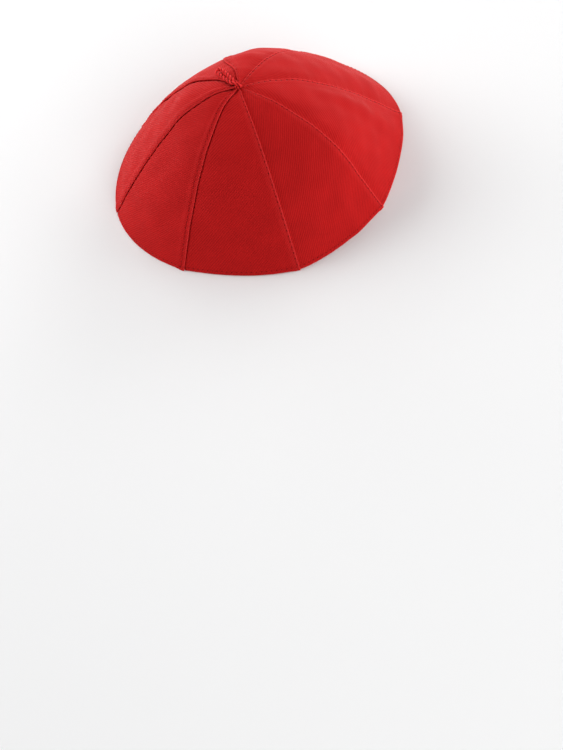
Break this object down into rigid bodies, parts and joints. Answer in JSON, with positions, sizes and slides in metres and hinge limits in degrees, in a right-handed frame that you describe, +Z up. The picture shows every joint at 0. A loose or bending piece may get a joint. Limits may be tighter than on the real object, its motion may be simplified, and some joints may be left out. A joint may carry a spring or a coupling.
{
  "type": "zucchetto skullcap",
  "caption": "Round cloth skullcap of sewn gores with topstitched folded seams, a turned-in hem and a small loop of twisted cord at the crown; it sits on the crown of the head.",
  "frame": {"origin": "on the surface that the rim rests on, below the middle of the cap's box", "axes": "+Z up from the rim to the crown, -Y towards the wearer's face, +X towards the wearer's left side"},
  "size_m": [0.1625, 0.1756, 0.0688],
  "materials": {
    "red_twill": "matt red twill with a fine diagonal rib and a soft sheen",
    "red_cord": "twisted red cord with a soft sheen"
  },
  "bodies": {
    "root": {"gore_back": "red_twill", "gore_back_right": "red_twill", "gore_right": "red_twill", "gore_front_right": "red_twill", "gore_front": "red_twill", "gore_front_left": "red_twill", "gore_left": "red_twill", "gore_back_left": "red_twill", "top_loop": "red_cord"}
  },
  "joints": []
}
